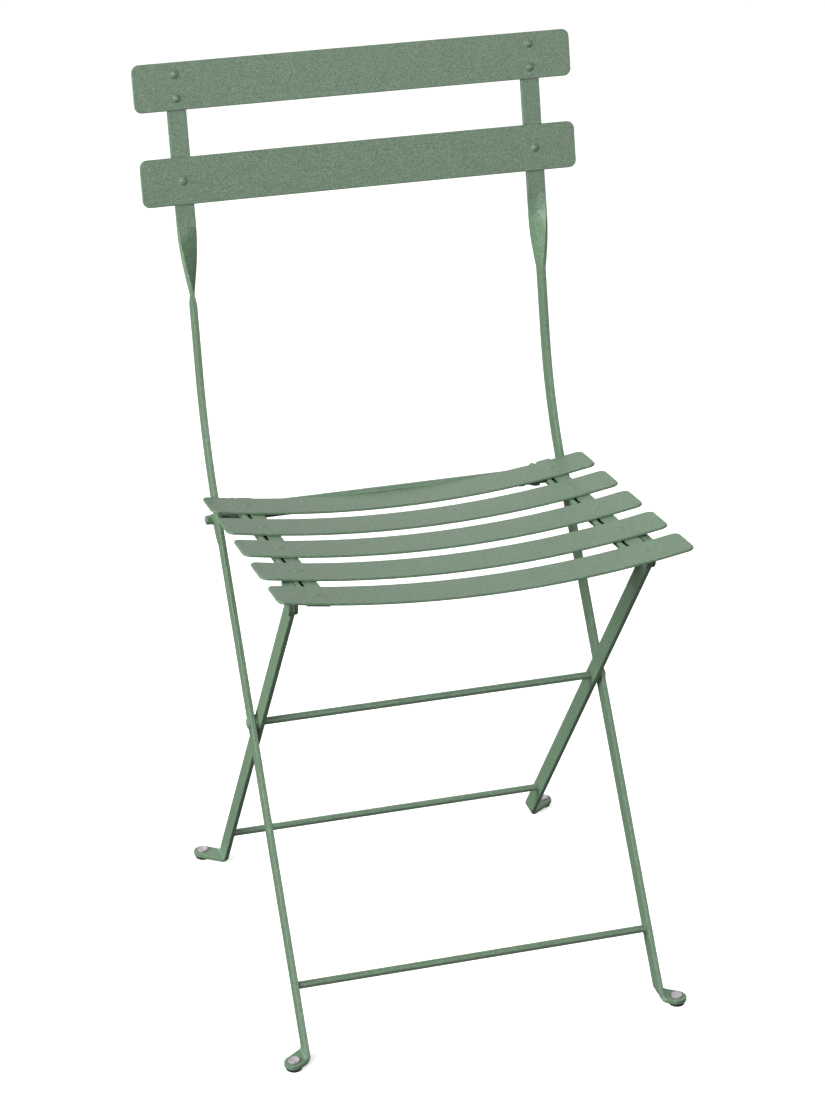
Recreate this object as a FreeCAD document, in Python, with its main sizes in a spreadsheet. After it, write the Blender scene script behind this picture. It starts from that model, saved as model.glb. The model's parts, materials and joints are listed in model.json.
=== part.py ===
import FreeCAD, Part

import math
import os

from FreeCAD import Placement, Rotation, Vector
import Sketcher

# Folding steel chair with two crossed pairs of flat-bar legs, a dished slatted
# seat and a slatted back. Millimetres, +Z up, +Y towards the back of the chair,
# +X towards the sitter's left hand. The origin lies on the floor in the middle of
# the chair's bounding box.

os.makedirs("parts", exist_ok=True)
doc = FreeCAD.newDocument("folding_chair")

# ---------------------------------------------------------------- dimensions
# name, value, what it measures
DIMENSIONS = [
    ("bar_width", 18.0, "flat bar of all four legs, wide face"),
    ("bar_thickness", 4.5, "flat bar of all four legs, thin way"),
    ("bar_edge_radius", 0.9, "rolled edge of the flat bar"),
    ("bar_bend_radius", 4.25, "centreline radius of the bend into a foot tab"),
    ("back_leg_spacing", 340.6, "between the centre planes of the long legs"),
    ("pivot_height", 254.2, "floor to the rod on which the legs cross"),
    ("long_leg_lean", 36.1, "degrees from vertical, below the bend"),
    ("back_lean", 13.0, "degrees from vertical, above the bend"),
    ("bend_height", 474.0, "floor to the corner that the bend rounds off"),
    ("bend_radius", 312.0, "centreline radius of the long leg's bend"),
    ("twist_height", 599.0, "floor to the start of the quarter twist"),
    ("twist_length", 72.0, "length of the quarter twist along the bar"),
    ("washer_thickness", 3.0, "spacer between short and long leg"),
    ("washer_diameter", 15.0, "spacer between short and long leg"),
    ("front_foot_reach", 13.6, "glide stud outboard of the long leg's centre plane"),
    ("rear_foot_reach", 18.8, "glide stud outboard of the short leg's centre plane"),
    ("overall_height", 817.6, "floor to the top of the upper back slat"),
    ("back_slat_reach", 39.7, "back slat's end outboard of its rivets"),
    ("bar_top_cover", 2.0, "long leg's end below the upper slat's top edge"),
    ("back_slat_width", 43.8, "back slats, top to bottom"),
    ("back_slat_pitch", 86.6, "from one back slat to the next"),
    ("back_bow_radius", 6127.0, "backward bow of the back slats"),
    ("back_rivet_spacing", 22.0, "between the two rivets of the upper slat"),
    ("slat_thickness", 2.5, "sheet of all slats"),
    ("slat_corner_radius", 7.0, "rounded corners of all slats"),
    ("slat_edge_radius", 0.8, "softened edges of all slats"),
    ("seat_slat_reach", 38.0, "seat slat's end outboard of its rivets"),
    ("seat_slat_width", 45.0, "seat slats, front to back"),
    ("seat_slat_pitch", 65.2, "from one seat slat to the next"),
    ("seat_bow_radius", 1043.0, "dish of the seat slats"),
    ("seat_tilt", 6.0, "degrees by which the seat's front is raised"),
    ("seat_middle_height", 448.4, "floor to the rivets of the middle slat"),
    ("seat_leg_gap", 21.5, "level, from the rear slat's edge to the long legs"),
    ("rail_width", 21.0, "folded seat rail, side to side"),
    ("rail_depth", 6.5, "folded seat rail, top to bottom"),
    ("rail_wall", 1.5, "sheet of the folded seat rail"),
    ("rail_inset", 1.3, "rail's middle inboard of its rivets"),
    ("rail_bracket_gap", 1.4, "between the rail and the hinge bracket's inner ear"),
    ("rail_overhang", 10.0, "rail behind the rearmost slat"),
    ("rail_front_reach", 5.0, "rail ahead of its foremost rivet"),
    ("rail_corner_radius", 1.2, "folded corners of the rail"),
    ("seam_width", 3.5, "open seam in the rail's top"),
    ("seam_offset", 5.4, "seam's middle from the rail's edge"),
    ("hinge_setback", 2.3, "seat hinge behind the middle of the gap between the front slats"),
    ("hinge_drop", 18.48, "seat hinge below the rivets, square to the seat"),
    ("clevis_wall", 1.6, "sheet of the seat hinge's bracket"),
    ("clevis_gap", 0.35, "play between the bracket and the leg, each side"),
    ("clevis_nose", 9.5, "radius of the bracket's ears round the hinge pin"),
    ("clevis_length", 24.0, "bracket, front to back"),
    ("clevis_cover", 0.8, "between the bracket's top and the slat over it"),
    ("rod_diameter", 7.0, "pivot rod and both foot rods"),
    ("rest_rod_diameter", 9.0, "rod behind the long legs that carries the seat"),
    ("rest_rod_reach", 10.2, "rest rod's end outboard of the long leg's centre plane"),
    ("rest_rod_drop", 42.5, "rest rod's middle below the rivets of the middle slat"),
    ("rod_end_height", 2.2, "rounding of the rest rod's ends"),
    ("seat_rod_diameter", 7.5, "rod between the rear ends of the rails"),
    ("seat_rod_drop", 10.4, "seat rod's middle below the rivets"),
    ("seat_rod_inset", 6.0, "seat rod's middle ahead of the rails' ends"),
    ("front_rod_distance", 244.3, "pivot rod to front foot rod along the leg"),
    ("rear_rod_distance", 256.4, "pivot rod to rear foot rod along the leg"),
    ("journal_diameter", 5.0, "turned-down ends of the pivot rod"),
    ("running_clearance", 0.05, "radial, pivot rod in the long legs"),
    ("rod_head_diameter", 12.0, "closed heads of the pivot rod"),
    ("rod_head_height", 2.6, "closed heads of the pivot rod"),
    ("pin_diameter", 5.0, "pins of the seat hinge"),
    ("pin_head_diameter", 9.0, "inner head of the hinge pin"),
    ("pin_head_height", 1.8, "inner head of the hinge pin"),
    ("pin_proud", 0.25, "hinge pin beyond the outer ear"),
    ("rivet_diameter", 4.0, "shanks of the slat rivets"),
    ("rivet_clearance", 0.3, "radial, rivet holes in slats and rails"),
    ("rivet_head_diameter", 8.5, "domed heads of the slat rivets"),
    ("back_head_height", 2.2, "domed heads on the back slats"),
    ("seat_head_height", 1.1, "low heads on the seat slats"),
    ("rivet_tail_diameter", 6.5, "closed tails of the slat rivets"),
    ("rivet_tail_height", 1.4, "closed tails of the slat rivets"),
    ("rivet_seat_gap", 0.02, "between a rivet's head and the curved slat"),
    ("hook_thickness", 5.0, "hook plates under the seat's rear"),
    ("hook_wall", 4.5, "plate round the rest rod"),
    ("hook_length", 34.0, "hook plates along the rail"),
    ("hook_lip", 0.5, "hook plate above the seat rod"),
    ("hook_clearance", 0.3, "radial, rest rod in its hook"),
    ("hook_slot_lean", 21.0, "degrees by which the hook's mouth opens forward"),
    ("hook_finger", 5.0, "hook's finger below the rest rod's middle"),
    ("saddle_length", 24.0, "saddle under the rest rod, along the leg"),
    ("saddle_height", 6.0, "saddle behind the leg's edge"),
    ("glide_diameter", 15.0, "rubber glide under each foot tab"),
    ("glide_height", 3.3, "rubber glide under each foot tab"),
    ("glide_edge_radius", 0.8, "lower edge of the glide"),
    ("glide_plug_diameter", 6.0, "glide's plug inside the foot tab"),
    ("stud_head_diameter", 10.0, "metal stud on top of each foot tab"),
    ("stud_head_height", 1.9, "metal stud on top of each foot tab"),
    ("stud_shank_diameter", 3.0, "metal stud inside the glide's plug"),
]

# name, formula on the dimensions above, what it measures
WORKED_OUT = [
    ("short_leg_spacing", "=back_leg_spacing - 2 * (bar_thickness + washer_thickness)",
     "between the centre planes of the short legs"),
    ("clevis_width", "=bar_thickness + 2 * (clevis_gap + clevis_wall)",
     "seat hinge's bracket, side to side"),
    ("seat_rivet_spacing",
     "=short_leg_spacing - clevis_width - 2 * (rail_bracket_gap - rail_inset) - rail_width",
     "between the two rows of seat rivets"),
    ("back_slat_length", "=back_leg_spacing + 2 * back_slat_reach", "back slats, end to end"),
    ("seat_slat_length", "=seat_rivet_spacing + 2 * seat_slat_reach", "seat slats, end to end"),
    ("rail_length", "=4 * seat_slat_pitch + seat_slat_width / 2 + rail_overhang + rail_front_reach",
     "folded seat rail, front to back"),
    ("seat_rod_length", "=seat_rivet_spacing - 2 * rail_inset - rail_width",
     "seat rod, between the two rails"),
    ("rest_rod_length", "=back_leg_spacing + 2 * rest_rod_reach", "rest rod, end to end"),
]

sheet = doc.addObject("Spreadsheet::Sheet", "dims")
entries = [(alias, repr(value), note) for alias, value, note in DIMENSIONS] + WORKED_OUT
for row, (alias, content, note) in enumerate(entries, start=1):
    sheet.set("A%d" % row, alias)
    sheet.set("B%d" % row, content)
    sheet.set("C%d" % row, note)
    sheet.setAlias("B%d" % row, alias)
doc.recompute()


def dim(alias):
    """A driving dimension, read back from the sheet."""
    return float(getattr(sheet, alias))


# ------------------------------------------------------ lengths worked out
LONG_LEAN = math.radians(dim("long_leg_lean"))
BACK_LEAN = math.radians(dim("back_lean"))

LONG_X = dim("back_leg_spacing") / 2
SHORT_X = dim("short_leg_spacing") / 2
HALF_BAR = dim("bar_thickness") / 2
TAB_HEIGHT = dim("glide_height") + HALF_BAR
FOOT_BEND_HEIGHT = TAB_HEIGHT + dim("bar_bend_radius")
SEAT_RIVET_X = dim("seat_rivet_spacing") / 2
SEAT_ROLL = math.asin(SEAT_RIVET_X / dim("seat_bow_radius"))

LONG_DIRECTION = Vector(0, math.sin(LONG_LEAN), math.cos(LONG_LEAN))
BACK_DIRECTION = Vector(0, math.sin(BACK_LEAN), math.cos(BACK_LEAN))
BACK_FRONT = Vector(0, -math.cos(BACK_LEAN), math.sin(BACK_LEAN))

# Depths are first measured from the pivot rod, then from the middle of the
# bounding box, which runs from the front foot tabs to the top of the back.
BEND_BACK = (dim("bend_height") - dim("pivot_height")) * math.tan(LONG_LEAN)


def back_line_depth(height):
    """Depth of the upper bar's centreline behind the pivot rod."""
    return BEND_BACK + (height - dim("bend_height")) * math.tan(BACK_LEAN)


def stud_depth(lean, reach):
    """Depth of a glide stud from the pivot rod: down the leg, round the bend, along the tab."""
    down = dim("pivot_height") - FOOT_BEND_HEIGHT
    bend = dim("bar_bend_radius") * math.pi / 2
    tab = dim(reach) - dim("bar_bend_radius")
    return (down + bend + tab) * math.tan(lean)


FRONT_STUD_DEPTH = -stud_depth(LONG_LEAN, "front_foot_reach")

BACK_ROLL = math.asin(LONG_X / dim("back_bow_radius"))
BOW_GAP = dim("bar_width") / 2 * math.tan(BACK_ROLL) + 2 * dim("rivet_seat_gap")
SLAT_STANDOFF = HALF_BAR + BOW_GAP + dim("slat_thickness")
UPPER_SLAT_HEIGHT = dim("overall_height") - dim("back_slat_width") / 2 * math.cos(BACK_LEAN)
BAR_TOP_HEIGHT = dim("overall_height") - dim("bar_top_cover") * math.cos(BACK_LEAN)
FRONT_LIMIT = FRONT_STUD_DEPTH - dim("bar_width") / 2
BACK_LIMIT = back_line_depth(BAR_TOP_HEIGHT) + HALF_BAR * math.cos(BACK_LEAN)
PIVOT_Y = -(FRONT_LIMIT + BACK_LIMIT) / 2

PIVOT = Vector(0, PIVOT_Y, dim("pivot_height"))
SEAT_ROTATION = Rotation(Vector(1, 0, 0), -dim("seat_tilt"))
SEAT_BACKWARD = SEAT_ROTATION.multVec(Vector(0, 1, 0))
SEAT_UP = SEAT_ROTATION.multVec(Vector(0, 0, 1))
BACK_ROTATION = Rotation(Vector(1, 0, 0), 90 - dim("back_lean"))

# The seat ends a fixed gap ahead of the long legs; its hinge sits between the two front slats.
LEG_FRONT = ((dim("seat_middle_height") - dim("pivot_height")) * math.tan(LONG_LEAN)
             - dim("bar_width") / 2 / math.cos(LONG_LEAN))
SEAT_REAR = 2 * dim("seat_slat_pitch") + dim("seat_slat_width") / 2
SEAT_MIDDLE = Vector(0, PIVOT_Y + LEG_FRONT - dim("seat_leg_gap") - SEAT_REAR * SEAT_BACKWARD.y,
                     dim("seat_middle_height"))
HINGE_AHEAD = 1.5 * dim("seat_slat_pitch") - dim("hinge_setback")
HINGE = SEAT_MIDDLE - SEAT_BACKWARD * HINGE_AHEAD - SEAT_UP * dim("hinge_drop")
SHORT_DIRECTION = (HINGE - PIVOT).normalize()
SHORT_LEAN = math.atan2(-SHORT_DIRECTION.y, SHORT_DIRECTION.z)

FRONT_STUD = Vector(LONG_X + dim("front_foot_reach"), PIVOT_Y + FRONT_STUD_DEPTH, TAB_HEIGHT)
REAR_STUD = Vector(SHORT_X + dim("rear_foot_reach"),
                   PIVOT_Y + stud_depth(SHORT_LEAN, "rear_foot_reach"), TAB_HEIGHT)

REST_ROD_OFFSET = (dim("bar_width") + dim("rest_rod_diameter")) / 2
REST_ROD_HEIGHT = dim("seat_middle_height") - dim("rest_rod_drop")
REST_ROD_BACK = ((REST_ROD_HEIGHT - dim("pivot_height")) * math.tan(LONG_LEAN)
                 + REST_ROD_OFFSET / math.cos(LONG_LEAN))
REST_ROD = Vector(0, PIVOT_Y + REST_ROD_BACK, REST_ROD_HEIGHT)

SIDES = [("left", 1), ("right", -1)]
SEAT_ROWS = range(-2, 3)
OVERSHOOT = 1.0  # how far a cutter runs past what it cuts
TOUCH = 0.01     # largest difference between lengths taken as equal
nodes = []


def keep(obj, label):
    """Give a finished sub-part the name of its node."""
    obj.Label = label
    nodes.append(obj)
    return obj


def bind(obj, **expressions):
    """Tie properties of an object to the sheet."""
    for name, text in expressions.items():
        obj.setExpression(name, text)
    return obj


def seat_point(x, back, up):
    """A point given in the tilted seat's own directions, from its middle rivets."""
    return SEAT_MIDDLE + Vector(x, 0, 0) + SEAT_BACKWARD * back + SEAT_UP * up


def mirrored(shape, side):
    """The left-hand shape, or its mirror image for the right."""
    if side > 0:
        return shape
    return shape.mirror(Vector(0, 0, 0), Vector(1, 0, 0))


# ------------------------------------------------------------- round pieces
def rod(name, x_from, length, diameter, centre):
    """A round bar along X; length and diameter are expressions on the sheet."""
    bar = doc.addObject("Part::Cylinder", name)
    bind(bar, Radius="(%s) / 2" % diameter, Height=length)
    bar.Placement = Placement(Vector(x_from, centre.y, centre.z), Rotation(Vector(0, 1, 0), 90))
    return bar


def dome(name, x, outward, diameter, height, centre):
    """Half an ellipsoid on the end of a rod, pointing along +X or -X."""
    cap = doc.addObject("Part::Ellipsoid", name)
    bind(cap, Radius1=height, Radius2="(%s) / 2" % diameter, Radius3="(%s) / 2" % diameter)
    cap.Angle1 = 0
    cap.Placement = Placement(Vector(x, centre.y, centre.z), Rotation(Vector(0, 1, 0), 90 * outward))
    return cap


def joined(label, pieces):
    """Several overlapping primitives made into one piece."""
    if len(pieces) == 1:
        return keep(pieces[0], label)
    whole = doc.addObject("Part::MultiFuse", label)
    whole.Shapes = pieces
    whole.Refine = True
    return keep(whole, label)


# ---------------------------------------------------------------- flat bars
def section_wire(centre, wide, thin=Vector(1, 0, 0)):
    """Outline of the flat bar's section with rolled edges, square to its path."""
    a = dim("bar_width") / 2
    b = dim("bar_thickness") / 2
    r = dim("bar_edge_radius")
    bevel = r * (1 - math.sqrt(0.5))

    def at(u, v):
        return centre + wide * u + thin * v

    edges = []
    corners = [(1, 1), (-1, 1), (-1, -1), (1, -1)]
    for n, (i, j) in enumerate(corners):
        towards_wide = at(i * a, j * (b - r))
        towards_thin = at(i * (a - r), j * b)
        middle = at(i * (a - bevel), j * (b - bevel))
        start, end = (towards_wide, towards_thin) if i * j > 0 else (towards_thin, towards_wide)
        edges.append(Part.Arc(start, middle, end).toShape())
        k, l = corners[(n + 1) % 4]
        if i == k:
            following = at(k * a, l * (b - r))
        else:
            following = at(k * (a - r), l * b)
        edges.append(Part.makeLine(end, following))
    return Part.Wire(edges)


def prism(wire, way):
    """Solid swept straight from a closed wire."""
    return Part.Face(wire).extrude(way)


def cylinder_along(start, way, diameter, length):
    """A round cutter from a point along a direction."""
    return Part.makeCylinder(diameter / 2, length, start, way)


def foot(leg_wire, leg_x, lean_sign, lean, stud):
    """Bend from the leg's lower end into a level tab that ends round the glide's stud."""
    radius = dim("bar_bend_radius")
    slope = math.tan(lean) * lean_sign
    steps = 6
    wires = []
    for step in range(steps + 1):
        turned = leg_wire.copy()
        angle = 90.0 * step / steps
        centre = Vector(leg_x + radius, 0, FOOT_BEND_HEIGHT)
        turned.rotate(centre, Vector(0, 1, 0), -angle)
        turned.translate(Vector(0, radius * math.radians(angle) * slope, 0))
        wires.append(turned)
    bend = Part.makeLoft(wires, True, False)
    along = Vector(math.cos(lean), lean_sign * math.sin(lean), 0)
    reach = (stud.x - leg_x - radius) / math.cos(lean)
    strip = prism(wires[-1], along * (reach + dim("bar_width")))
    beyond = Part.makeBox(3 * dim("bar_width"), 4 * dim("bar_width"), 4 * dim("bar_thickness"))
    beyond.translate(Vector(0, -2 * dim("bar_width"), -2 * dim("bar_thickness")))
    beyond.Placement = Placement(stud, Rotation(Vector(0, 0, 1), math.degrees(lean) * lean_sign)
                                 ).multiply(beyond.Placement)
    strip = strip.cut(beyond)
    disc = Part.makeCylinder(dim("bar_width") / 2, dim("bar_thickness"),
                             stud - Vector(0, 0, HALF_BAR))
    rims = [edge for edge in disc.Edges if isinstance(edge.Curve, Part.Circle)]
    disc = disc.makeFillet(dim("bar_edge_radius"), rims)
    tab = strip.fuse(disc)
    hole = Part.makeCylinder(dim("glide_plug_diameter") / 2, 4 * dim("bar_thickness"),
                             stud - Vector(0, 0, 2 * dim("bar_thickness")))
    return bend, tab.cut(hole)


def across(x, point, reach, diameter):
    """A round cutter along X through a leg whose centre plane is at x."""
    return Part.makeCylinder(diameter / 2, 2 * reach, Vector(x - reach, point.y, point.z),
                             Vector(1, 0, 0))


def leg_bottom(prism_shape, leg_x):
    """Cut a leg's lower end level and return it with the wire of the cut."""
    size = 2 * dim("overall_height")
    below = Part.makeBox(size, size, size, Vector(leg_x - size / 2, -size / 2,
                                                  FOOT_BEND_HEIGHT - size))
    wire = prism_shape.slice(Vector(0, 0, 1), FOOT_BEND_HEIGHT)[0]
    return prism_shape.cut(below), wire


def back_point(height):
    """A point on the left long leg's centreline above the bend."""
    return Vector(LONG_X, PIVOT_Y + back_line_depth(height), height)


def long_leg():
    """Left long leg: foot tab, straight, bend, twist and the flat that carries the back."""
    turn = LONG_LEAN - BACK_LEAN
    tangent = dim("bend_radius") * math.tan(turn / 2)
    corner = back_point(dim("bend_height"))
    bend_start = corner - LONG_DIRECTION * tangent
    bend_end = corner + BACK_DIRECTION * tangent
    wide_low = Vector(0, math.cos(LONG_LEAN), -math.sin(LONG_LEAN))
    wide_high = Vector(0, math.cos(BACK_LEAN), -math.sin(BACK_LEAN))
    start = section_wire(bend_start, wide_low)
    lower, cut_wire = leg_bottom(prism(start, LONG_DIRECTION * -dim("overall_height")), LONG_X)
    bend_centre = bend_start - wide_low * dim("bend_radius")
    curve = Part.Face(start).revolve(bend_centre, Vector(1, 0, 0), math.degrees(turn))
    twist_start = back_point(dim("twist_height"))
    straight = prism(section_wire(bend_end, wide_high), twist_start - bend_end)
    wires = []
    steps = 9
    for step in range(steps + 1):
        share = step / steps
        wire = section_wire(twist_start, wide_high)
        wire.rotate(twist_start, BACK_DIRECTION, 90 * share)
        wire.translate(BACK_DIRECTION * dim("twist_length") * share)
        wires.append(wire)
    twist = Part.makeLoft(wires, True, False)
    twist_end = twist_start + BACK_DIRECTION * dim("twist_length")
    flat = prism(wires[-1], back_point(BAR_TOP_HEIGHT) - twist_end)
    bend, tab = foot(cut_wire, LONG_X, -1, LONG_LEAN, FRONT_STUD)
    leg = lower.multiFuse([curve, straight, twist, flat, bend, tab])
    hole = dim("journal_diameter") + 2 * dim("running_clearance")
    rivet_hole = dim("rivet_diameter") + 2 * dim("rivet_clearance")
    cutters = [across(LONG_X, PIVOT, dim("bar_thickness"), hole)]
    for point in back_rivet_points():
        place = Vector(LONG_X, point.y, point.z) + BACK_FRONT * dim("bar_width")
        cutters.append(cylinder_along(place, BACK_FRONT * -1, rivet_hole, 2 * dim("bar_width")))
    return leg.cut(Part.makeCompound(cutters)).removeSplitter()


def short_leg():
    """Left short leg: foot tab at the back, straight up to the seat hinge."""
    top = Vector(SHORT_X, HINGE.y, HINGE.z)
    start = section_wire(top, SHORT_DIRECTION.cross(Vector(1, 0, 0)))
    lower, cut_wire = leg_bottom(prism(start, SHORT_DIRECTION * -dim("overall_height")), SHORT_X)
    disc = Part.makeCylinder(dim("bar_width") / 2, dim("bar_thickness"),
                             top - Vector(HALF_BAR, 0, 0), Vector(1, 0, 0))
    rims = [edge for edge in disc.Edges if isinstance(edge.Curve, Part.Circle)]
    disc = disc.makeFillet(dim("bar_edge_radius"), rims)
    bend, tab = foot(cut_wire, SHORT_X, 1, SHORT_LEAN, REAR_STUD)
    leg = lower.multiFuse([disc, bend, tab])
    cutters = [across(SHORT_X, PIVOT, dim("bar_thickness"), dim("journal_diameter")),
               across(SHORT_X, HINGE, dim("bar_thickness"),
                      dim("pin_diameter") + 2 * dim("running_clearance"))]
    return leg.cut(Part.makeCompound(cutters)).removeSplitter()


def back_slat_point(number):
    """Middle of a back slat's front face at its rivets, on the chair's middle plane."""
    height = UPPER_SLAT_HEIGHT - number * dim("back_slat_pitch") * math.cos(BACK_LEAN)
    line_height = height - SLAT_STANDOFF * math.sin(BACK_LEAN)
    point = Vector(0, PIVOT_Y + back_line_depth(line_height), line_height)
    return point + BACK_FRONT * SLAT_STANDOFF


def back_rivet_points():
    """Front-face points of the back rivets: two in the upper slat, one in the lower."""
    upper = back_slat_point(0)
    half = BACK_DIRECTION * (dim("back_rivet_spacing") / 2)
    return [upper + half, upper - half, back_slat_point(1)]


# -------------------------------------------------------------- bowed slats
def origin_plane(body, role):
    """One of a body's own base planes."""
    return [item for item in body.Origin.OriginFeatures if item.Role == role][0]


def new_sketch(body, name, role):
    """An empty sketch on one of a body's base planes."""
    sketch = body.newObject("Sketcher::SketchObject", name)
    sketch.AttachmentSupport = [(origin_plane(body, role), "")]
    sketch.MapMode = "FlatFace"
    return sketch


def named_constraint(sketch, name, constraint, expression):
    """A sketch dimension tied to the sheet."""
    index = sketch.addConstraint(constraint)
    sketch.renameConstraint(index, name)
    sketch.setExpression("Constraints." + name, expression)


def bow_sketch(body, name, length, bow_radius, rivet_spacing):
    """Closed band between two arcs about a centre above it; the upper arc passes through the
    height of the body's origin at the rivets."""
    sketch = new_sketch(body, name + "_section", "XZ_Plane")
    radius = dim(bow_radius)
    outer = radius + dim("slat_thickness")
    rise = math.sqrt(radius ** 2 - (dim(rivet_spacing) / 2) ** 2)
    half = math.asin(dim(length) / 2 / radius)
    centre = Vector(0, rise, 0)
    start, end = -math.pi / 2 - half, -math.pi / 2 + half
    for r in (radius, outer):
        arc = Part.ArcOfCircle(Part.Circle(centre, Vector(0, 0, 1), r), start, end)
        sketch.addGeometry(arc, False)
    for angle in (start, end):
        way = Vector(math.cos(angle), math.sin(angle), 0)
        sketch.addGeometry(Part.LineSegment(centre + way * radius, centre + way * outer), False)
    first, last, middle = 1, 2, 3
    upper_arc, lower_arc, left_line, right_line = 0, 1, 2, 3
    relation = Sketcher.Constraint
    sketch.addConstraint([
        relation("Coincident", upper_arc, middle, lower_arc, middle),
        relation("Coincident", upper_arc, first, left_line, first),
        relation("Coincident", lower_arc, first, left_line, last),
        relation("Coincident", upper_arc, last, right_line, first),
        relation("Coincident", lower_arc, last, right_line, last),
        relation("PointOnObject", upper_arc, middle, -2),
        relation("PointOnObject", upper_arc, middle, left_line),
        relation("PointOnObject", upper_arc, middle, right_line),
    ])
    named_constraint(sketch, "upper_radius", relation("Radius", upper_arc, radius),
                     "dims." + bow_radius)
    named_constraint(sketch, "lower_radius", relation("Radius", lower_arc, outer),
                     "dims.%s + dims.slat_thickness" % bow_radius)
    named_constraint(sketch, "rise", relation("DistanceY", -1, 1, upper_arc, middle, rise),
                     "sqrt(dims.%s^2 - (dims.%s / 2)^2)" % (bow_radius, rivet_spacing))
    half_length = dim(length) / 2
    named_constraint(sketch, "left_end",
                     relation("DistanceX", upper_arc, first, -1, 1, half_length),
                     "dims.%s / 2" % length)
    named_constraint(sketch, "right_end",
                     relation("DistanceX", -1, 1, upper_arc, last, half_length),
                     "dims.%s / 2" % length)
    return sketch


def thickness_edges(shape):
    """Straight edges as long as the sheet is thick: the slat's four corners."""
    found = []
    for number, edge in enumerate(shape.Edges, start=1):
        straight = isinstance(edge.Curve, (Part.Line, Part.LineSegment))
        if straight and abs(edge.Length - dim("slat_thickness")) < TOUCH:
            found.append("Edge%d" % number)
    return found


def slat(label, length, width, bow_radius, rivet_spacing, rivet_rows, placement):
    """A bowed slat with rounded corners and rivet holes. Its origin is the middle of its upper
    face at the height of its rivets, its Y runs across the slat and its Z out of the face."""
    body = doc.addObject("PartDesign::Body", label)
    pad = body.newObject("PartDesign::Pad", label + "_sheet")
    pad.Profile = bow_sketch(body, label, length, bow_radius, rivet_spacing)
    pad.SideType = "Symmetric"
    bind(pad, Length="dims." + width)
    doc.recompute()
    corners = body.newObject("PartDesign::Fillet", label + "_corners")
    corners.Base = (pad, thickness_edges(pad.Shape))
    bind(corners, Radius="dims.slat_corner_radius")
    doc.recompute()
    rims = set("Edge%d" % n for n in range(1, len(corners.Shape.Edges) + 1))
    rims -= set(thickness_edges(corners.Shape))
    softened = body.newObject("PartDesign::Fillet", label + "_edges")
    softened.Base = (corners, sorted(rims))
    bind(softened, Radius="dims.slat_edge_radius")
    doc.recompute()
    holes = new_sketch(body, label + "_rivet_places", "XY_Plane")
    # The rivets stand square to the bow, so the holes are wider by their lean through the sheet.
    hole_text = ("dims.rivet_diameter / 2 + dims.rivet_clearance"
                 " + dims.slat_thickness * dims.%s / (2 * dims.%s)" % (rivet_spacing, bow_radius))
    for row_offset, row_expression in rivet_rows:
        for side in (1, -1):
            number = holes.addGeometry(Part.Circle(Vector(side * dim(rivet_spacing) / 2,
                                                          row_offset, 0),
                                                   Vector(0, 0, 1), dim("rivet_diameter")), False)
            tag = "%s_%d" % (label, number)
            named_constraint(holes, "radius_" + tag,
                             Sketcher.Constraint("Radius", number, dim("rivet_diameter")),
                             hole_text)
            ends = (-1, 1, number, 3) if side > 0 else (number, 3, -1, 1)
            named_constraint(holes, "across_" + tag,
                             Sketcher.Constraint("DistanceX", *ends, dim(rivet_spacing) / 2),
                             "dims.%s / 2" % rivet_spacing)
            if row_expression is None:
                holes.addConstraint(Sketcher.Constraint("PointOnObject", number, 3, -1))
            else:
                ends = (-1, 1, number, 3) if row_offset > 0 else (number, 3, -1, 1)
                named_constraint(holes, "along_" + tag,
                                 Sketcher.Constraint("DistanceY", *ends, abs(row_offset)),
                                 row_expression)
    pocket = body.newObject("PartDesign::Pocket", label + "_rivet_holes")
    pocket.Profile = holes
    pocket.SideType = "Symmetric"
    bind(pocket, Length="8 * dims.slat_thickness")
    doc.recompute()
    body.Placement = placement
    return keep(body, label)


# ---------------------------------------------------------------- seat rails
def rail_frame(side, back):
    """Placement on a rail's top face under its rivets: X across the rail, Z out of the top."""
    roll = Rotation(Vector(0, 1, 0), -math.degrees(SEAT_ROLL) * side)
    rotation = SEAT_ROTATION.multiply(roll)
    rivet = seat_point(side * SEAT_RIVET_X, back, 0)
    under_slat = rotation.multVec(Vector(0, 0, -dim("slat_thickness")))
    return Placement(rivet + under_slat, rotation)


RAIL_REAR = SEAT_REAR + dim("rail_overhang")
RAIL_MIDDLE = RAIL_REAR - dim("rail_length") / 2


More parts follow.
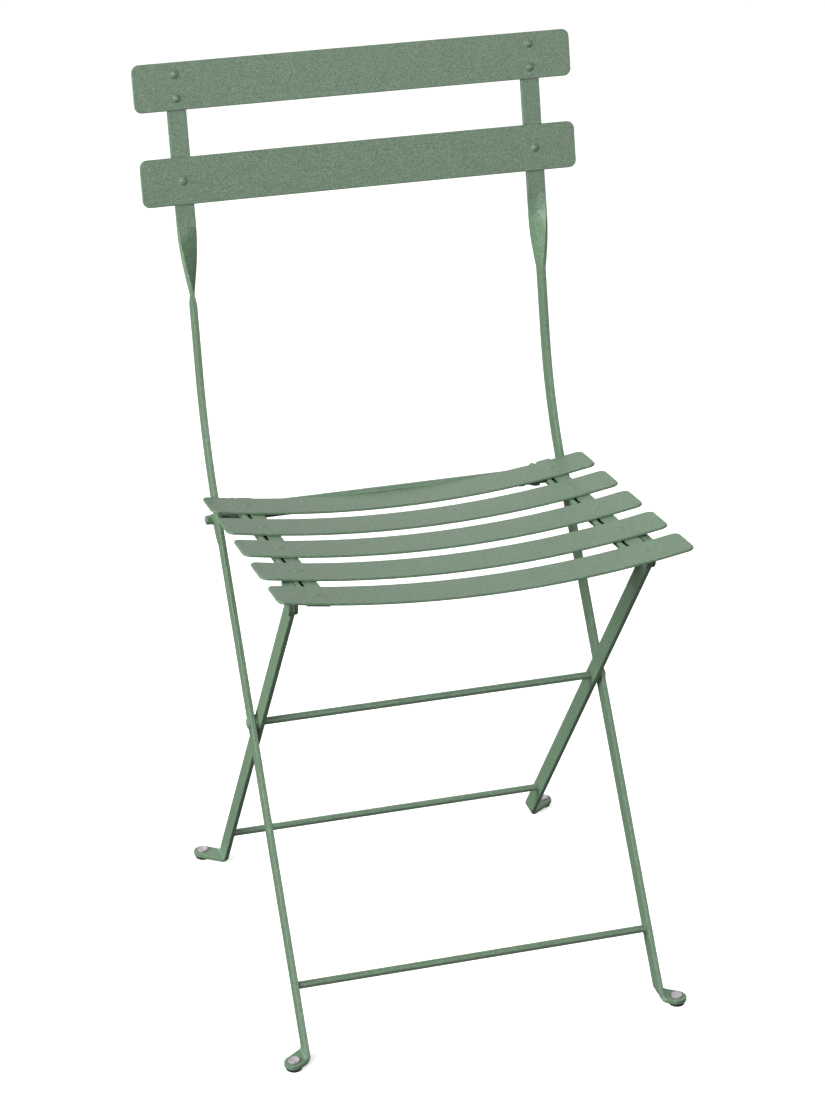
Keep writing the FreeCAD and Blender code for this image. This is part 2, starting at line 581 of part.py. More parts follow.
def seat_rail(label, side):
    """Rail folded from sheet into a flat box whose open seam lies in its top."""
    body = doc.addObject("PartDesign::Body", label)
    sketch = new_sketch(body, label + "_section", "XZ_Plane")
    width, depth, wall = dim("rail_width"), dim("rail_depth"), dim("rail_wall")
    centre = -side * dim("rail_inset")
    left, right = centre - width / 2, centre + width / 2
    seam_left = left + dim("seam_offset") - dim("seam_width") / 2
    seam_right = left + dim("seam_offset") + dim("seam_width") / 2
    outline = [
        (seam_left, 0), (left, 0), (left, -depth), (right, -depth), (right, 0), (seam_right, 0),
        (seam_right, -wall), (right - wall, -wall), (right - wall, wall - depth),
        (left + wall, wall - depth), (left + wall, -wall), (seam_left, -wall),
    ]
    count = len(outline)
    for n in range(count):
        a, b = outline[n], outline[(n + 1) % count]
        sketch.addGeometry(Part.LineSegment(Vector(*a, 0), Vector(*b, 0)), False)
    for n in range(count):
        sketch.addConstraint(Sketcher.Constraint("Coincident", n, 2, (n + 1) % count, 1))
        kind = "Horizontal" if outline[n][1] == outline[(n + 1) % count][1] else "Vertical"
        sketch.addConstraint(Sketcher.Constraint(kind, n))
    sketch.addConstraint(Sketcher.Constraint("PointOnObject", 0, 1, -1))
    sketch.addConstraint(Sketcher.Constraint("PointOnObject", 4, 2, -1))
    relation = Sketcher.Constraint
    wall_text, depth_text = "dims.rail_wall", "dims.rail_depth"
    named_constraint(sketch, "depth", relation("DistanceY", 1, 2, 1, 1, depth), depth_text)
    named_constraint(sketch, "width", relation("DistanceX", 2, 1, 2, 2, width), "dims.rail_width")
    named_constraint(sketch, "left_edge", relation("DistanceX", 1, 1, -1, 1, -left),
                     "dims.rail_width / 2 %s dims.rail_inset" % ("+" if side > 0 else "-"))
    named_constraint(sketch, "seam_near", relation("DistanceX", 1, 1, 0, 1, seam_left - left),
                     "dims.seam_offset - dims.seam_width / 2")
    named_constraint(sketch, "seam", relation("DistanceX", 0, 1, 4, 2, seam_right - seam_left),
                     "dims.seam_width")
    named_constraint(sketch, "lip_right", relation("DistanceY", 5, 2, 5, 1, wall), wall_text)
    named_constraint(sketch, "side_right", relation("DistanceX", 6, 2, 3, 2, wall), wall_text)
    named_constraint(sketch, "floor", relation("DistanceY", 2, 1, 8, 2, wall), wall_text)
    named_constraint(sketch, "side_left", relation("DistanceX", 1, 1, 8, 2, wall), wall_text)
    named_constraint(sketch, "lip_left", relation("DistanceY", 10, 2, 0, 1, wall), wall_text)
    pad = body.newObject("PartDesign::Pad", label + "_sheet")
    pad.Profile = sketch
    pad.SideType = "Symmetric"
    bind(pad, Length="dims.rail_length")
    doc.recompute()
    corners = []
    for number, edge in enumerate(pad.Shape.Edges, start=1):
        middle = edge.CenterOfMass
        outer = min(abs(middle.x - left), abs(middle.x - right)) < TOUCH
        along = abs(edge.Length - dim("rail_length")) < TOUCH
        if outer and along:
            corners.append("Edge%d" % number)
    folded = body.newObject("PartDesign::Fillet", label + "_folds")
    folded.Base = (pad, corners)
    bind(folded, Radius="dims.rail_corner_radius")
    doc.recompute()
    holes = new_sketch(body, label + "_rivet_places", "XY_Plane")
    for n in SEAT_ROWS:
        place = n * dim("seat_slat_pitch") - RAIL_MIDDLE
        number = holes.addGeometry(Part.Circle(Vector(0, place, 0), Vector(0, 0, 1),
                                               dim("rivet_diameter")), False)
        holes.addConstraint(Sketcher.Constraint("PointOnObject", number, 3, -2))
        named_constraint(holes, "radius_%d" % number,
                         Sketcher.Constraint("Radius", number, dim("rivet_diameter")),
                         "dims.rivet_diameter / 2 + dims.rivet_clearance")
        behind = "%d * dims.seat_slat_pitch" % n
        rail_middle = ("(2 * dims.seat_slat_pitch + dims.seat_slat_width / 2"
                       " + dims.rail_overhang - dims.rail_length / 2)")
        if place > 0:
            named_constraint(holes, "along_%d" % number,
                             Sketcher.Constraint("DistanceY", -1, 1, number, 3, place),
                             behind + " - " + rail_middle)
        else:
            named_constraint(holes, "along_%d" % number,
                             Sketcher.Constraint("DistanceY", number, 3, -1, 1, -place),
                             rail_middle + " - " + behind)
    pocket = body.newObject("PartDesign::Pocket", label + "_rivet_holes")
    pocket.Profile = holes
    bind(pocket, Length="1.5 * dims.rail_wall")
    doc.recompute()
    body.Placement = rail_frame(side, RAIL_MIDDLE)
    return keep(body, label)


# ----------------------------------------------------------------- rivets
def rivet(head_height, grip, tail_height):
    """One rivet pointing up along Z, its head's underside at the origin."""
    head_r = dim("rivet_head_diameter") / 2
    sphere_r = (head_r ** 2 + head_height ** 2) / (2 * head_height)
    ball = Part.makeSphere(sphere_r, Vector(0, 0, head_height - sphere_r))
    block = Part.makeBox(4 * head_r, 4 * head_r, head_height,
                         Vector(-2 * head_r, -2 * head_r, 0))
    shank = Part.makeCylinder(dim("rivet_diameter") / 2, grip + head_height / 2,
                              Vector(0, 0, -grip))
    tail = Part.makeCylinder(dim("rivet_tail_diameter") / 2, tail_height,
                             Vector(0, 0, -grip - tail_height))
    return ball.common(block).multiFuse([shank, tail]).removeSplitter()


def rivet_group(label, pattern, places):
    """A row of identical rivets kept in one node as separate solids."""
    copies = []
    for place in places:
        one = pattern.copy()
        one.Placement = place
        copies.append(one)
    group = doc.addObject("Part::Feature", label)
    group.Shape = Part.makeCompound(copies)
    return keep(group, label)


# ------------------------------------------------- hinge bracket and hooks
INNER_EAR = SHORT_X - HALF_BAR - dim("clevis_gap") - dim("clevis_wall")


def slat_underside(x):
    """Height of a seat slat's lower face above the rivets at a distance from the middle."""
    radius = dim("seat_bow_radius")
    rise = math.sqrt(radius ** 2 - SEAT_RIVET_X ** 2)
    return rise - math.sqrt((radius + dim("slat_thickness")) ** 2 - x ** 2)


def hinge_clevis(label, side):
    """U-shaped bracket over the top of a short leg, its web close under the seat slats."""
    top = slat_underside(INNER_EAR) - dim("clevis_cover")
    ear_drop = top + dim("hinge_drop")
    nose, wall = dim("clevis_nose"), dim("clevis_wall")
    rear = dim("clevis_length") - nose
    body = doc.addObject("PartDesign::Body", label)
    sketch = new_sketch(body, label + "_profile", "YZ_Plane")
    corner = nose * 0.5
    # Ear seen from the side, origin at the hinge pin.
    points = [(rear, ear_drop), (-nose, ear_drop), (-nose, 0)]
    sketch.addGeometry(Part.LineSegment(Vector(*points[0], 0), Vector(*points[1], 0)), False)
    sketch.addGeometry(Part.LineSegment(Vector(*points[1], 0), Vector(*points[2], 0)), False)
    sketch.addGeometry(Part.ArcOfCircle(Part.Circle(Vector(0, 0, 0), Vector(0, 0, 1), nose),
                                        math.pi, 1.75 * math.pi), False)
    low = Vector(nose * math.cos(-math.pi / 4), nose * math.sin(-math.pi / 4), 0)
    sketch.addGeometry(Part.LineSegment(low, Vector(rear, corner, 0)), False)
    sketch.addGeometry(Part.LineSegment(Vector(rear, corner, 0),
                                        Vector(rear, ear_drop, 0)), False)
    relation = Sketcher.Constraint
    sketch.addConstraint([
        relation("Coincident", 0, 2, 1, 1), relation("Coincident", 1, 2, 2, 1),
        relation("Coincident", 2, 2, 3, 1), relation("Coincident", 3, 2, 4, 1),
        relation("Coincident", 4, 2, 0, 1), relation("Horizontal", 0), relation("Vertical", 1),
        relation("Vertical", 4), relation("Coincident", 2, 3, -1, 1), relation("PointOnObject", 2, 1, -1),
    ])
    named_constraint(sketch, "nose", relation("Radius", 2, nose), "dims.clevis_nose")
    named_constraint(sketch, "rear", relation("DistanceX", -1, 1, 4, 1, rear),
                     "dims.clevis_length - dims.clevis_nose")
    named_constraint(sketch, "heel", relation("DistanceY", -1, 1, 4, 1, corner),
                     "dims.clevis_nose / 2")
    sketch.addConstraint(relation("DistanceY", -1, 1, 0, 1, ear_drop))
    sketch.addConstraint(relation("Angle", 3, math.atan2(corner - low.y, rear - low.x)))
    pad = body.newObject("PartDesign::Pad", label + "_block")
    pad.Profile = sketch
    pad.SideType = "Symmetric"
    bind(pad, Length="dims.clevis_width")
    doc.recompute()
    slot = new_sketch(body, label + "_slot_outline", "XZ_Plane")
    half = HALF_BAR + dim("clevis_gap")
    low_edge, high_edge = -2 * nose, ear_drop - wall
    box = [(-half, low_edge), (half, low_edge), (half, high_edge), (-half, high_edge)]
    for n in range(4):
        a, b = box[n], box[(n + 1) % 4]
        slot.addGeometry(Part.LineSegment(Vector(*a, 0), Vector(*b, 0)), False)
    for n in range(4):
        slot.addConstraint(relation("Coincident", n, 2, (n + 1) % 4, 1))
        slot.addConstraint(relation("Horizontal" if n % 2 == 0 else "Vertical", n))
    half_gap = "dims.bar_thickness / 2 + dims.clevis_gap"
    named_constraint(slot, "gap_left", relation("DistanceX", 0, 1, -1, 1, half), half_gap)
    named_constraint(slot, "gap_right", relation("DistanceX", -1, 1, 0, 2, half), half_gap)
    slot.addConstraint(relation("DistanceY", -1, 1, 2, 1, high_edge))
    named_constraint(slot, "mouth", relation("DistanceY", 0, 1, -1, 1, -low_edge),
                     "2 * dims.clevis_nose")
    cut = body.newObject("PartDesign::Pocket", label + "_slot")
    cut.Profile = slot
    cut.SideType = "Symmetric"
    bind(cut, Length="4 * dims.clevis_length")
    doc.recompute()
    bore = new_sketch(body, label + "_pin_place", "YZ_Plane")
    bore.addGeometry(Part.Circle(Vector(0, 0, 0), Vector(0, 0, 1), dim("pin_diameter") / 2), False)
    bore.addConstraint(relation("Coincident", 0, 3, -1, 1))
    named_constraint(bore, "bore", relation("Radius", 0, dim("pin_diameter") / 2),
                     "dims.pin_diameter / 2")
    hole = body.newObject("PartDesign::Pocket", label + "_pin_hole")
    hole.Profile = bore
    hole.SideType = "Symmetric"
    bind(hole, Length="4 * dims.bar_width")
    doc.recompute()
    body.Placement = Placement(HINGE + Vector(side * SHORT_X, 0, 0), SEAT_ROTATION)
    return keep(body, label)


def seat_hook(side):
    """Plate beside a rail's rear end whose hook drops over the rest rod from above."""
    rod_back = (REST_ROD - SEAT_MIDDLE).dot(SEAT_BACKWARD)
    rod_up = (REST_ROD - SEAT_MIDDLE).dot(SEAT_UP)
    jaw = dim("rest_rod_diameter") / 2 + dim("hook_clearance")
    outer = jaw + dim("hook_wall")
    top = dim("seat_rod_diameter") / 2 + dim("hook_lip") - dim("seat_rod_drop")
    front = RAIL_REAR - dim("hook_length")
    thickness = dim("hook_thickness")
    start = dim("seat_rod_length") / 2 - thickness

    def at(back, up):
        return seat_point(start, back, up)

    lobe = Part.makeCylinder(outer, thickness, at(rod_back, rod_up), Vector(1, 0, 0))
    low = top - dim("seat_rod_diameter") - dim("hook_wall") / 2
    outline = [at(front, top), at(RAIL_REAR, top), at(rod_back + outer, rod_up),
               at(rod_back - outer, rod_up), at(front, low)]
    plate = Part.Face(Part.makePolygon(outline + outline[:1])).extrude(Vector(thickness, 0, 0))
    lean = math.radians(dim("hook_slot_lean"))
    down = SEAT_UP * -math.cos(lean) - SEAT_BACKWARD * math.sin(lean)
    sideways = down.cross(Vector(1, 0, 0))
    corner = at(rod_back, rod_up) - Vector(OVERSHOOT, 0, 0)
    through = thickness + 2 * OVERSHOOT
    ahead = sideways if sideways.dot(SEAT_BACKWARD) < 0 else sideways * -1
    mouth = [corner - ahead * jaw, corner + ahead * 3 * outer,
             corner + ahead * 3 * outer + down * 3 * outer, corner - ahead * jaw + down * 3 * outer]
    slot = Part.Face(Part.makePolygon(mouth + mouth[:1])).extrude(Vector(through, 0, 0))
    tip = corner + down * dim("hook_finger")
    end = [tip - ahead * 3 * outer, tip + ahead * 3 * outer,
           tip + ahead * 3 * outer + down * 3 * outer, tip - ahead * 3 * outer + down * 3 * outer]
    below = Part.Face(Part.makePolygon(end + end[:1])).extrude(Vector(through, 0, 0))
    bore = Part.makeCylinder(jaw, through, corner, Vector(1, 0, 0))
    seat_rod_place = at(RAIL_REAR - dim("seat_rod_inset"), -dim("seat_rod_drop"))
    seat_rod_hole = Part.makeCylinder(dim("seat_rod_diameter") / 2, through,
                                      seat_rod_place - Vector(OVERSHOOT, 0, 0), Vector(1, 0, 0))
    hook = plate.fuse(lobe).removeSplitter()
    hook = hook.cut(slot).cut(below).cut(bore).cut(seat_rod_hole)
    return mirrored(hook, side)


def shaped(label, shape):
    """A piece made with solid functions."""
    feature = doc.addObject("Part::Feature", label)
    feature.Shape = shape
    return keep(feature, label)


# -------------------------------------------------------------- the assembly
for side_name, side in SIDES:
    shaped("long_leg_" + side_name, mirrored(long_leg(), side))
for side_name, side in SIDES:
    shaped("short_leg_" + side_name, mirrored(short_leg(), side))

half_spacing = "dims.back_rivet_spacing / 2"
upper_rows = [(dim("back_rivet_spacing") / 2, half_spacing),
              (-dim("back_rivet_spacing") / 2, half_spacing)]
slat("back_slat_upper", "back_slat_length", "back_slat_width", "back_bow_radius",
     "back_leg_spacing", upper_rows, Placement(back_slat_point(0), BACK_ROTATION))
slat("back_slat_lower", "back_slat_length", "back_slat_width", "back_bow_radius",
     "back_leg_spacing", [(0, None)], Placement(back_slat_point(1), BACK_ROTATION))
back_places = []
for side_name, side in SIDES:
    for point in back_rivet_points():
        roll = Rotation(Vector(0, 1, 0), -math.degrees(BACK_ROLL) * side)
        above = Vector(side * LONG_X, point.y, point.z) + BACK_FRONT * dim("rivet_seat_gap")
        back_places.append(Placement(above, BACK_ROTATION.multiply(roll)))
back_grip = dim("slat_thickness") + dim("bar_thickness") + 2 * BOW_GAP
rivet_group("back_rivets",
            rivet(dim("back_head_height"), back_grip, dim("rivet_tail_height")),
            back_places)

for number in range(5):
    back = (2 - number) * dim("seat_slat_pitch")
    slat("seat_slat_%d" % (number + 1), "seat_slat_length", "seat_slat_width",
         "seat_bow_radius", "seat_rivet_spacing", [(0, None)],
         Placement(seat_point(0, back, 0), SEAT_ROTATION))
for side_name, side in SIDES:
    seat_rail("seat_rail_" + side_name, side)
seat_places = []
for side_name, side in SIDES:
    for number in SEAT_ROWS:
        frame = rail_frame(side, number * dim("seat_slat_pitch"))
        lift = dim("slat_thickness") + dim("rivet_seat_gap")
        surface = frame.Base + frame.Rotation.multVec(Vector(0, 0, lift))
        seat_places.append(Placement(surface, frame.Rotation))
seat_grip = dim("slat_thickness") + dim("rail_wall") + 2 * dim("rivet_seat_gap")
rivet_group("seat_rivets",
            rivet(dim("seat_head_height"), seat_grip, dim("rivet_tail_height")),
            seat_places)
for side_name, side in SIDES:
    hinge_clevis("hinge_clevis_" + side_name, side)
for side_name, side in SIDES:
    shaped("seat_hook_" + side_name, seat_hook(side))

# Rods.
short_inner = SHORT_X - HALF_BAR
long_inner = LONG_X - HALF_BAR
long_outer = LONG_X + HALF_BAR
between_long_text = "dims.back_leg_spacing - dims.bar_thickness"
between_short_text = "dims.short_leg_spacing - dims.bar_thickness"
journal_text = "dims.back_leg_spacing + dims.bar_thickness + 8 * dims.running_clearance"
head_gap = 4 * dim("running_clearance")

joined("pivot_rod", [
    rod("pivot_rod_middle", -short_inner, between_short_text, "dims.rod_diameter", PIVOT),
    rod("pivot_rod_journals", -(long_outer + head_gap), journal_text, "dims.journal_diameter",
        PIVOT),
    dome("pivot_rod_head_left", long_outer + head_gap, 1, "dims.rod_head_diameter",
         "dims.rod_head_height", PIVOT),
    dome("pivot_rod_head_right", -(long_outer + head_gap), -1, "dims.rod_head_diameter",
         "dims.rod_head_height", PIVOT),
])
for side_name, side in SIDES:
    x_from = SHORT_X + HALF_BAR if side > 0 else -long_inner
    disc = rod("washer_disc_" + side_name, x_from, "dims.washer_thickness",
               "dims.washer_diameter", PIVOT)
    hole = rod("washer_hole_" + side_name, x_from - dim("washer_thickness"),
               "3 * dims.washer_thickness", "dims.journal_diameter", PIVOT)
    washer = doc.addObject("Part::Cut", "pivot_washer_" + side_name)
    washer.Base = disc
    washer.Tool = hole
    keep(washer, "pivot_washer_" + side_name)

front_rod_centre = PIVOT - LONG_DIRECTION * dim("front_rod_distance")
joined("front_foot_rod", [rod("front_foot_rod", -long_inner, between_long_text,
                              "dims.rod_diameter", front_rod_centre)])
rear_rod_centre = PIVOT - SHORT_DIRECTION * dim("rear_rod_distance")
joined("rear_foot_rod", [rod("rear_foot_rod", -short_inner, between_short_text,
                             "dims.rod_diameter", rear_rod_centre)])
rest_half = dim("rest_rod_length") / 2 - dim("rod_end_height")
joined("seat_rest_rod", [
    rod("rest_rod_bar", -rest_half, "dims.rest_rod_length - 2 * dims.rod_end_height",
        "dims.rest_rod_diameter", REST_ROD),
    dome("rest_rod_end_left", rest_half, 1, "dims.rest_rod_diameter", "dims.rod_end_height",
         REST_ROD),
    dome("rest_rod_end_right", -rest_half, -1, "dims.rest_rod_diameter", "dims.rod_end_height",
         REST_ROD),
])
seat_rod_centre = seat_point(0, RAIL_REAR - dim("seat_rod_inset"), -dim("seat_rod_drop"))
joined("seat_rear_rod", [rod("seat_rear_rod", -dim("seat_rod_length") / 2,
                             "dims.seat_rod_length", "dims.seat_rod_diameter",
                             seat_rod_centre)])

# Hinge pins: head on the inner ear, closed almost flush on the outer one.
pin_length = dim("clevis_width") + dim("pin_proud")
pin_text = "dims.clevis_width + dims.pin_proud"
for side_name, side in SIDES:
    inner = side * INNER_EAR
    x_from = inner if side > 0 else inner - pin_length
    joined("hinge_pin_" + side_name, [
        rod("hinge_pin_shank_" + side_name, x_from, pin_text, "dims.pin_diameter", HINGE),
        dome("hinge_pin_head_" + side_name, inner, -side, "dims.pin_head_diameter",
             "dims.pin_head_height", HINGE),
    ])


# Saddles: small welded blocks on the long legs' rear edges under the rest rod.
def saddle():
    """Left saddle: a block on the leg's rear edge, hollowed by the rest rod above it."""
    rear = Vector(0, math.cos(LONG_LEAN), -math.sin(LONG_LEAN))
    top = REST_ROD - rear * (dim("rest_rod_diameter") / 2)
    length, height = dim("saddle_length"), dim("saddle_height")
    low = top - LONG_DIRECTION * length
    toe = low + rear * (height / 4)
    heel = top - LONG_DIRECTION * (length / 2) + rear * height
    outline = [top, low, toe, heel, top + rear * height]
    x = LONG_X - HALF_BAR
    points = [point + Vector(x, 0, 0) for point in outline]
    block = Part.Face(Part.makePolygon(points + points[:1])).extrude(
        Vector(dim("bar_thickness"), 0, 0))
    bar = Part.makeCylinder(dim("rest_rod_diameter") / 2, 4 * dim("bar_width"),
                            REST_ROD + Vector(LONG_X - 2 * dim("bar_width"), 0, 0),
                            Vector(1, 0, 0))
    return block.cut(bar)


for side_name, side in SIDES:
    shaped("rest_rod_saddle_" + side_name, mirrored(saddle(), side))


# --------------------------------------------------------------------- feet
def turned_body(label, outline_points, centre):
    """A piece turned about Z from straight and rounded runs in the XZ half-plane."""
    body = doc.addObject("PartDesign::Body", label)
    sketch = new_sketch(body, label + "_profile", "XZ_Plane")
    count = len(outline_points)
    for n in range(count):
        (x1, z1, _, _), (x2, z2, _, _) = outline_points[n], outline_points[(n + 1) % count]
        sketch.addGeometry(Part.LineSegment(Vector(x1, z1, 0), Vector(x2, z2, 0)), False)
    for n in range(count):
        x, z, x_text, z_text = outline_points[n]
        sketch.addConstraint(Sketcher.Constraint("Coincident", n, 1, (n - 1) % count, 2))
        for kind, value, text in (("DistanceX", x, x_text), ("DistanceY", z, z_text)):
            if text is None:
                axis = -2 if kind == "DistanceX" else -1
                sketch.addConstraint(Sketcher.Constraint("PointOnObject", n, 1, axis))
            else:
                ends = (-1, 1, n, 1) if value > 0 else (n, 1, -1, 1)
                named_constraint(sketch, "%s_%d" % (kind, n),
                                 Sketcher.Constraint(kind, *ends, abs(value)), text)
    turn = body.newObject("PartDesign::Revolution", label + "_turned")
    turn.Profile = sketch
    turn.ReferenceAxis = (sketch, ["V_Axis"])
    turn.Angle = 360
    doc.recompute()
    body.Placement = Placement(centre, Rotation())
    return body


def glide(label, centre):
    """Rubber glide: a pad under the tab and a plug through it, hollow for the stud."""
    pad, plug = dim("glide_diameter") / 2, dim("glide_plug_diameter") / 2
    shank, tall = dim("stud_shank_diameter") / 2, dim("bar_thickness")
    thick = dim("glide_height")
    pad_text, plug_text = "dims.glide_diameter / 2", "dims.glide_plug_diameter / 2"
    shank_text, tall_text = "dims.stud_shank_diameter / 2", "dims.bar_thickness"
    thick_text = "dims.glide_height"
    outline = [
        (0, -thick, None, thick_text), (pad, -thick, pad_text, thick_text), (pad, 0, pad_text, None),
        (plug, 0, plug_text, None), (plug, tall, plug_text, tall_text),
        (shank, tall, shank_text, tall_text), (shank, 0, shank_text, None), (0, 0, None, None),
    ]
    body = turned_body(label, outline, centre)
    turned = body.Tip
    rims = []
    for number, edge in enumerate(turned.Shape.Edges, start=1):
        round_edge = isinstance(edge.Curve, Part.Circle)
        if round_edge and abs(edge.Curve.Radius - pad) < TOUCH:
            rims.append("Edge%d" % number)
    softened = body.newObject("PartDesign::Fillet", label + "_rim")
    softened.Base = (turned, rims)
    bind(softened, Radius="dims.glide_edge_radius")
    doc.recompute()
    return keep(body, label)


def stud(label, x, y):
    """Metal stud: a low domed head on the tab and a shank down into the glide."""
    top = TAB_HEIGHT + HALF_BAR
    head = doc.addObject("Part::Ellipsoid", label + "_head")
    bind(head, Radius1="dims.stud_head_height", Radius2="dims.stud_head_diameter / 2",
         Radius3="dims.stud_head_diameter / 2")
    head.Angle1 = 0
    head.Placement = Placement(Vector(x, y, top), Rotation())
    shank = doc.addObject("Part::Cylinder", label + "_shank")
    bind(shank, Radius="dims.stud_shank_diameter / 2", Height="dims.bar_thickness")
    shank.Placement = Placement(Vector(x, y, top - dim("bar_thickness")), Rotation())
    return joined(label, [head, shank])


for end, place in (("front", FRONT_STUD), ("rear", REAR_STUD)):
    for side_name, side in SIDES:
        name = "%s_%s" % (end, side_name)
        glide("glide_" + name, Vector(side * place.x, place.y, TAB_HEIGHT - HALF_BAR))
        stud("glide_stud_" + name, side * place.x, place.y)

# ------------------------------------------------------------------- output
doc.recompute()
faults = [obj.Name for obj in doc.Objects if "Invalid" in obj.State or "Error" in obj.State]
if faults:
    raise RuntimeError("failed objects: " + ", ".join(faults))
for obj in nodes:
    if obj.Shape.isNull() or not obj.Shape.isValid():
        raise RuntimeError("bad shape: " + obj.Label)
for obj in nodes:
    obj.Shape.exportStep("parts/%s.step" % obj.Label)
    print("%-24s solids %2d  volume %9.1f mm3" % (obj.Label, len(obj.Shape.Solids), obj.Shape.Volume))
whole = Part.makeCompound([obj.Shape for obj in nodes])
print("nodes", len(nodes), "box", whole.BoundBox)
print("pivot", PIVOT, "hinge", HINGE, "rest rod", REST_ROD)
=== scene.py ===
import json
import math

import bpy
from mathutils import Matrix, Vector


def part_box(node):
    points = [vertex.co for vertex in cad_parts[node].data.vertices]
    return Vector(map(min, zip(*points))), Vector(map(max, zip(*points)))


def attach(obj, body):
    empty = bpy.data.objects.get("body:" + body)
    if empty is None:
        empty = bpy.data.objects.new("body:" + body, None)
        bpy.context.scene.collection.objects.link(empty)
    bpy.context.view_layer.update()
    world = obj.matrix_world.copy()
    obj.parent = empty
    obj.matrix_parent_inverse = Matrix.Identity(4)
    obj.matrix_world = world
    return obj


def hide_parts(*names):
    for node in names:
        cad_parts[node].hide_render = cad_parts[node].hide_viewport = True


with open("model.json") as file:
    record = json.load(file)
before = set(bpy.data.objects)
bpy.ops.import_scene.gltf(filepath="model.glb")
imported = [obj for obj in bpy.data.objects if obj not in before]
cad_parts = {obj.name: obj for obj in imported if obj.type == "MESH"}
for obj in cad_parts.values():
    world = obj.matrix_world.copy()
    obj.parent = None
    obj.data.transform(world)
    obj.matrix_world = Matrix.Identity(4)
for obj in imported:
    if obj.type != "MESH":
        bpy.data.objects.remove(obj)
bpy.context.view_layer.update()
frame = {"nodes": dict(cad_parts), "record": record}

# Folding garden chair: flat steel bar with crossed legs, a dished slatted seat and a
# bowed slatted back, all in one sage green powder coat. Metres, +Z up, front at -Y.

bpy.ops.object.select_all(action="DESELECT")

MM = 0.001

# A saddle is as wide as the bar of the leg that it is welded to is thick, and so is the
# foot tab bent from that bar.
SADDLE_LOW, SADDLE_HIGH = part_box("rest_rod_saddle_left")
BAR_THICKNESS = SADDLE_HIGH.x - SADDLE_LOW.x

# ------------------------------------------------------------------ materials
# Colours are linear red, green and blue. Scales are in pattern repeats a metre.
SAGE = (0.094, 0.160, 0.096)
SAGE_LIGHT = (0.205, 0.310, 0.207)
SAGE_DARK = (0.036, 0.068, 0.037)
SAGE_WORN = (0.150, 0.232, 0.150)
CLOUD_SCALE = 38.0
GRAIN_SCALE = 720.0
FLAKE_SCALE = 1150.0
WEAR_SCALE = 160.0
PEEL_SCALE = 260.0
BODY_MIX = (0.42, 0.62)
GLINT_MOST = 0.50
PIT_MOST = 0.46
WEAR_MOST = 0.08
WEAR_REACH = 0.7 * MM
COAT_ROUGHNESS = (0.37, 0.25)
PEEL_DEPTH = 0.24 * MM
GRAIN_DEPTH = 0.08 * MM

ZINC_DARK = (0.33, 0.305, 0.335)
ZINC_LIGHT = (0.50, 0.465, 0.505)
ZINC_MOTTLE_SCALE = 420.0
ZINC_FINE_SCALE = 2600.0
ZINC_ROUGHNESS = (0.5, 0.36)
ZINC_METALLIC = 0.35
ZINC_MOTTLE_DEPTH = 0.08 * MM
ZINC_FINE_DEPTH = 0.03 * MM

RUBBER = (0.012, 0.012, 0.013)
RUBBER_DUST = (0.045, 0.044, 0.042)
RUBBER_GRAIN_SCALE = 1500.0
RUBBER_DUST_SCALE = 90.0
RUBBER_ROUGHNESS = (0.62, 0.85)
RUBBER_GRAIN_DEPTH = 0.06 * MM

FLOOR_PALE = (0.93, 0.93, 0.93)
FLOOR_SHADED = (0.90, 0.90, 0.90)
FLOOR_HAZE_SCALE = 1.3
FLOOR_GLOW = 0.32

# Sockets that share their names with others are reached by number.
MIX_COLOUR_A, MIX_COLOUR_B, MIX_COLOUR_OUT = 6, 7, 2
RANGE_VALUE, RANGE_OUT = 0, 0
RANGE_LIMITS = (1, 2, 3, 4)

# Dot product of the surface's normal and the rounded one: near one on an open face, and
# lower towards a sharp edge.
EDGE_AGREEMENT, FACE_AGREEMENT = 0.86, 0.995
BEVEL_SAMPLES = 4


def set_range(node, low, high, to_low, to_high):
    for key, value in zip(RANGE_LIMITS, (low, high, to_low, to_high)):
        node.inputs[key].default_value = value


